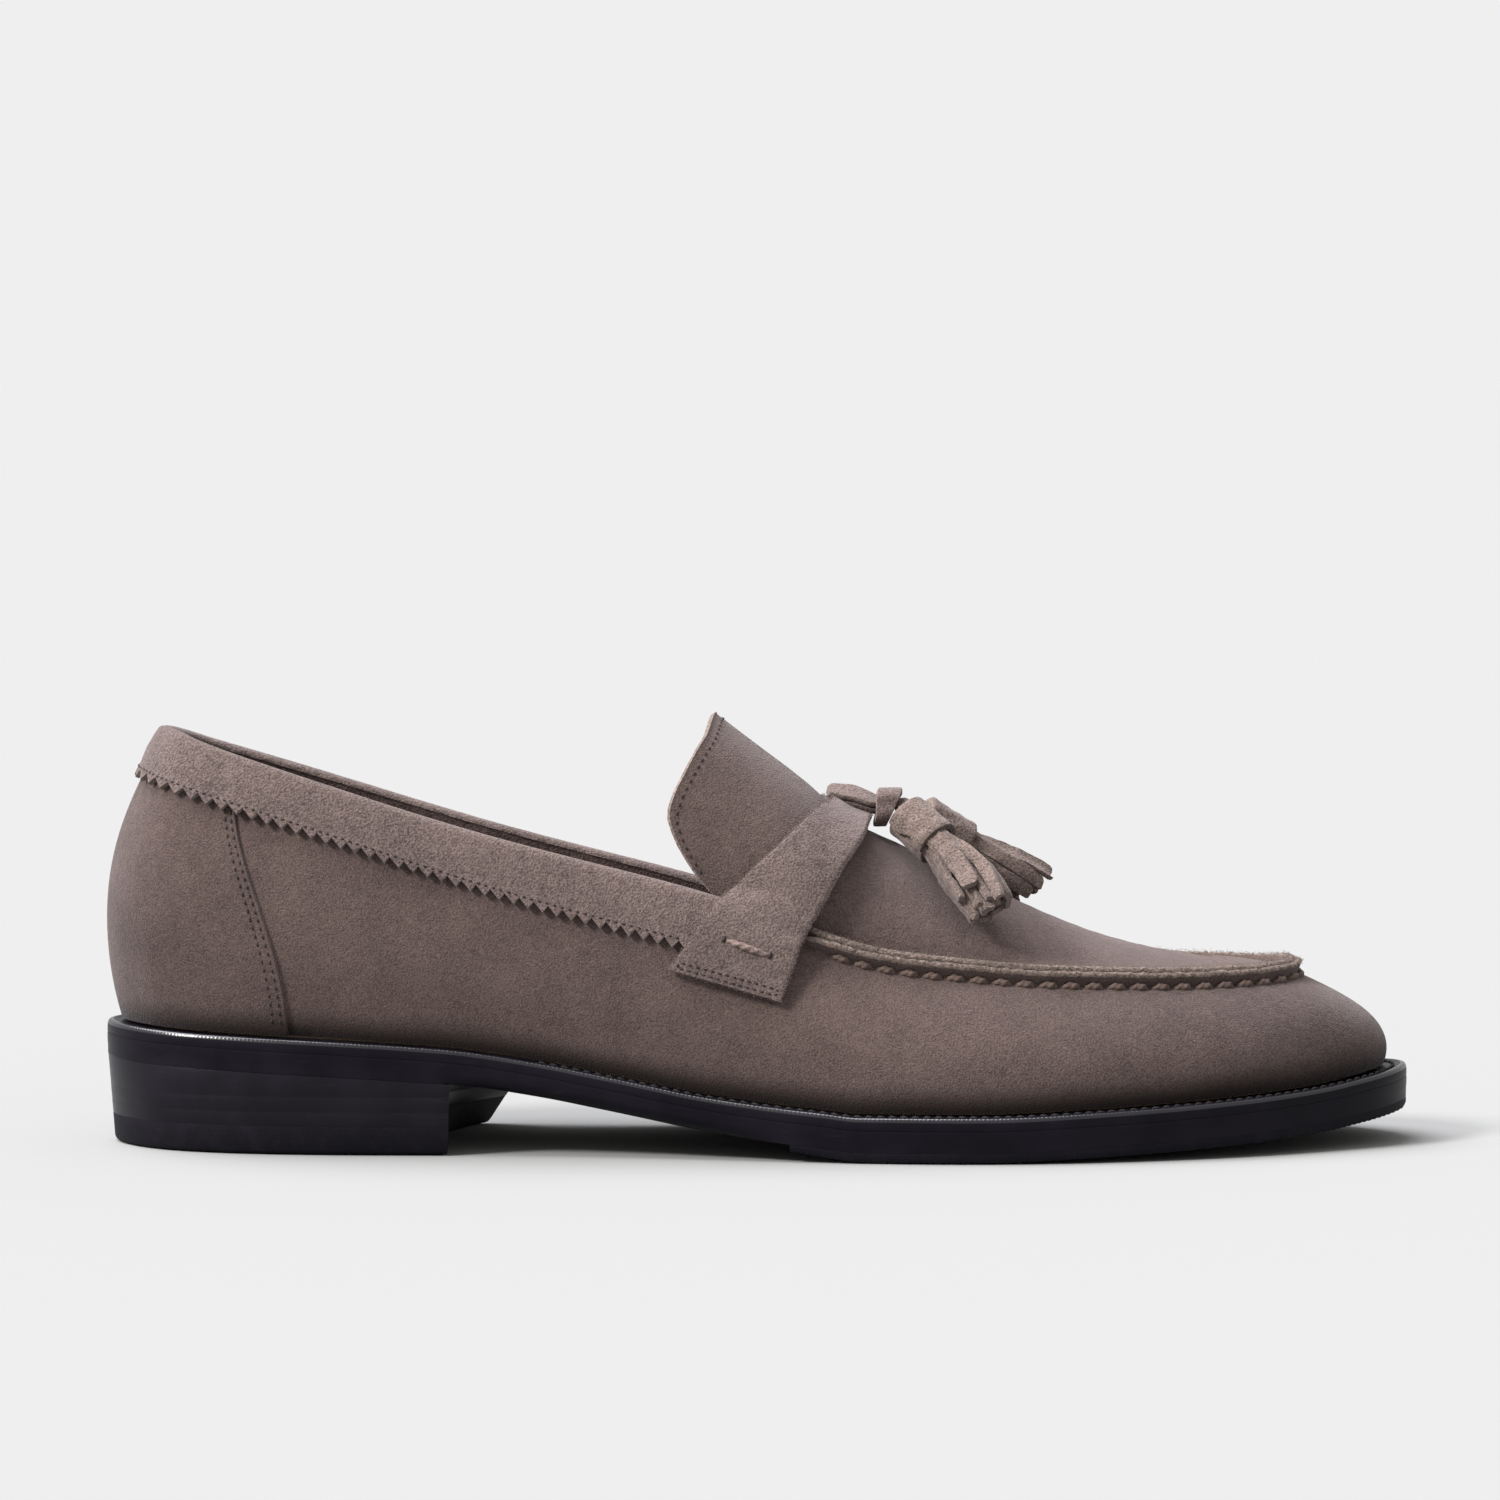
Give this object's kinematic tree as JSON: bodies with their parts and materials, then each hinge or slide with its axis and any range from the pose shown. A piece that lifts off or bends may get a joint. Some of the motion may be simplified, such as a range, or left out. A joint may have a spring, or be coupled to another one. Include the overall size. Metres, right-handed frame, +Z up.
{
  "type": "tassel loafer",
  "caption": "Right-foot slip-on shoe in suede with a hand-sewn apron toe, a strap with a knotted thong and tassels, and a black leather sole with a stacked heel.",
  "frame": {"origin": "on the floor, under the middle of the sole's length and width", "axes": "+X to the toe, +Y to the wearer's left (the inner side of this right shoe), +Z up"},
  "size_m": [0.3, 0.1019, 0.0983],
  "materials": {
    "suede": "fine-napped suede, grey-brown",
    "suede_napped": "coarser suede, a little lighter",
    "sole_black": "blacked and waxed sole leather",
    "rubber_black": "matt ribbed rubber",
    "insole_leather": "smooth tan lining leather"
  },
  "bodies": {
    "root": {"outsole": "sole_black", "half_sole": "rubber_black", "welt": "sole_black", "heel_stack": "sole_black", "heel_top_piece": "rubber_black", "insole": "insole_leather", "upper": "suede", "plug_and_tongue": "suede", "collar_band": "suede_napped", "strap": "suede_napped", "thong_loop": "suede_napped", "tassel_knot": "suede_napped", "tassel_lateral": "suede_napped", "tassel_medial": "suede_napped"}
  },
  "joints": []
}
